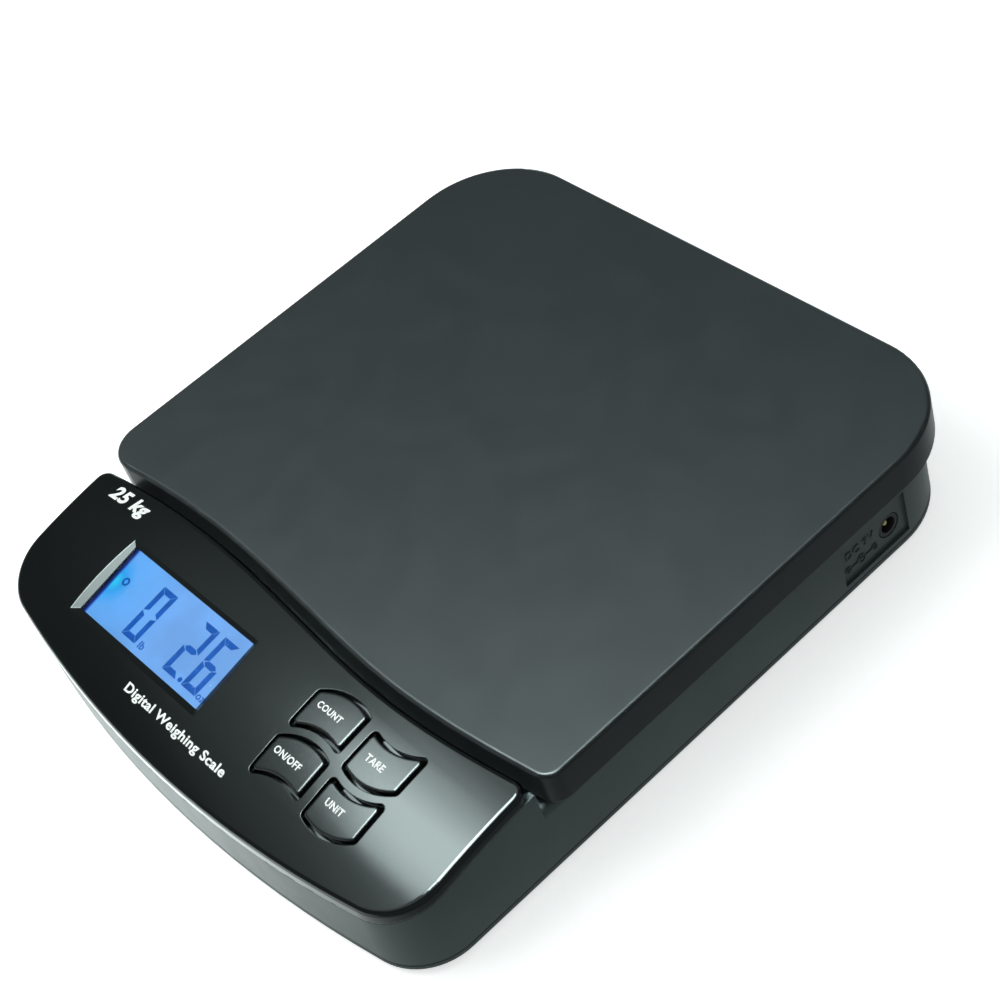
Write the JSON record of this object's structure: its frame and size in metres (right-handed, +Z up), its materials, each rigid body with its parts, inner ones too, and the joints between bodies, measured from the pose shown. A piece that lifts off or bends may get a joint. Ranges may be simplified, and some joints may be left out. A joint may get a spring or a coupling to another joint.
{
  "type": "platform shipping scale",
  "caption": "Compact electronic shipping scale: flat weighing platform on a load cell, sloping console with a lit display and wave-edged keys, side power socket.",
  "frame": {"origin": "on the table under the middle of the base, at the height of the feet's soles", "axes": "+Z up, +X to the user's right, +Y away from the user, the console is at -Y"},
  "size_m": [0.217, 0.2402, 0.0423],
  "materials": {
    "shell_plastic": "satin moulded, fine grain",
    "cover_plastic": "satin moulded, fine grain",
    "deck_plastic": "polished",
    "key_plastic": "polished",
    "platform_plastic": "fine grain",
    "frame_plastic": "ribbed moulding",
    "window": "clear, polished",
    "lcd": "lit display glass",
    "backlight": "frosted light guide",
    "led": "white",
    "white_plastic": "moulded",
    "black_part": "moulded",
    "board": "solder mask",
    "tin": "tinned",
    "rubber": "matt",
    "foam": "open-cell foam",
    "aluminium": "milled",
    "gauge_sealant": "potted",
    "steel": "zinc plated",
    "brass": "turned",
    "wire": "insulated",
    "cable": "grey sheath",
    "battery_case": "printed can",
    "label": "blank film"
  },
  "bodies": {
    "base": {"bottom_shell": "shell_plastic", "base_cover": "cover_plastic", "console_deck": "deck_plastic", "tact_switches": "black_part", "display_window": "window", "lcd_glass": "lcd", "backlight_panel": "backlight", "backlight_led": "led", "lcd_frame": "white_plastic", "lcd_pins": "tin", "main_board": "board", "board_screws": "steel", "microcontroller": "black_part", "converter_chip": "black_part", "crystal": "tin", "capacitors": "black_part", "voltage_regulator": "black_part", "resistors": "black_part", "wire_connectors": "white_plastic", "load_cell": "aluminium", "strain_gauges": "gauge_sealant", "cell_mount_plate": "steel", "cell_base_screws": "steel", "overload_stop_screw": "steel", "rubber_feet": "rubber", "dc_jack": "black_part", "dc_jack_pin": "brass", "battery": "battery_case", "battery_terminals": "brass", "battery_snap": "black_part", "battery_foam": "foam", "battery_leads": "wire", "jack_leads": "wire", "load_cell_cable": "cable", "rating_label": "label", "case_screws": "steel"},
    "weighing_frame": {"weigh_frame": "frame_plastic", "platform_pads": "rubber", "cell_top_spacer": "aluminium", "cell_top_screws": "steel"},
    "platform": {"platform_tray": "platform_plastic"},
    "battery_door": {"battery_door": "shell_plastic"},
    "count_key": {"count_key": "key_plastic", "count_plunger": "white_plastic"},
    "on_off_key": {"on_off_key": "key_plastic", "on_off_plunger": "white_plastic"},
    "tare_key": {"tare_key": "key_plastic", "tare_plunger": "white_plastic"},
    "unit_key": {"unit_key": "key_plastic", "unit_plunger": "white_plastic"}
  },
  "joints": [
    {"name": "weighing_sink", "type": "slide", "parent": "base", "child": "weighing_frame", "axis": [0, 0, -1], "range_m": [0, 0.0008], "stiffness_N_per_m": 300000, "deforming": ["load_cell"]},
    {"name": "platform_lift_off", "type": "slide", "parent": "weighing_frame", "child": "platform", "axis": [0, 0, 1], "range_m": [0, 0.03]},
    {"name": "battery_door_hinge", "type": "hinge", "parent": "base", "child": "battery_door", "pos_m": [-0.0625, -0.00095, 0.002], "axis": [1, 0, 0], "range_deg": [0, 85]},
    {"name": "count_key_press", "type": "slide", "parent": "base", "child": "count_key", "axis": [0, 0.2158, -0.9764], "range_m": [0, 0.0006], "stiffness_N_per_m": 2500},
    {"name": "on_off_key_press", "type": "slide", "parent": "base", "child": "on_off_key", "axis": [0, 0.2158, -0.9764], "range_m": [0, 0.0006], "stiffness_N_per_m": 2500},
    {"name": "tare_key_press", "type": "slide", "parent": "base", "child": "tare_key", "axis": [0, 0.2158, -0.9764], "range_m": [0, 0.0006], "stiffness_N_per_m": 2500},
    {"name": "unit_key_press", "type": "slide", "parent": "base", "child": "unit_key", "axis": [0, 0.2158, -0.9764], "range_m": [0, 0.0006], "stiffness_N_per_m": 2500}
  ]
}
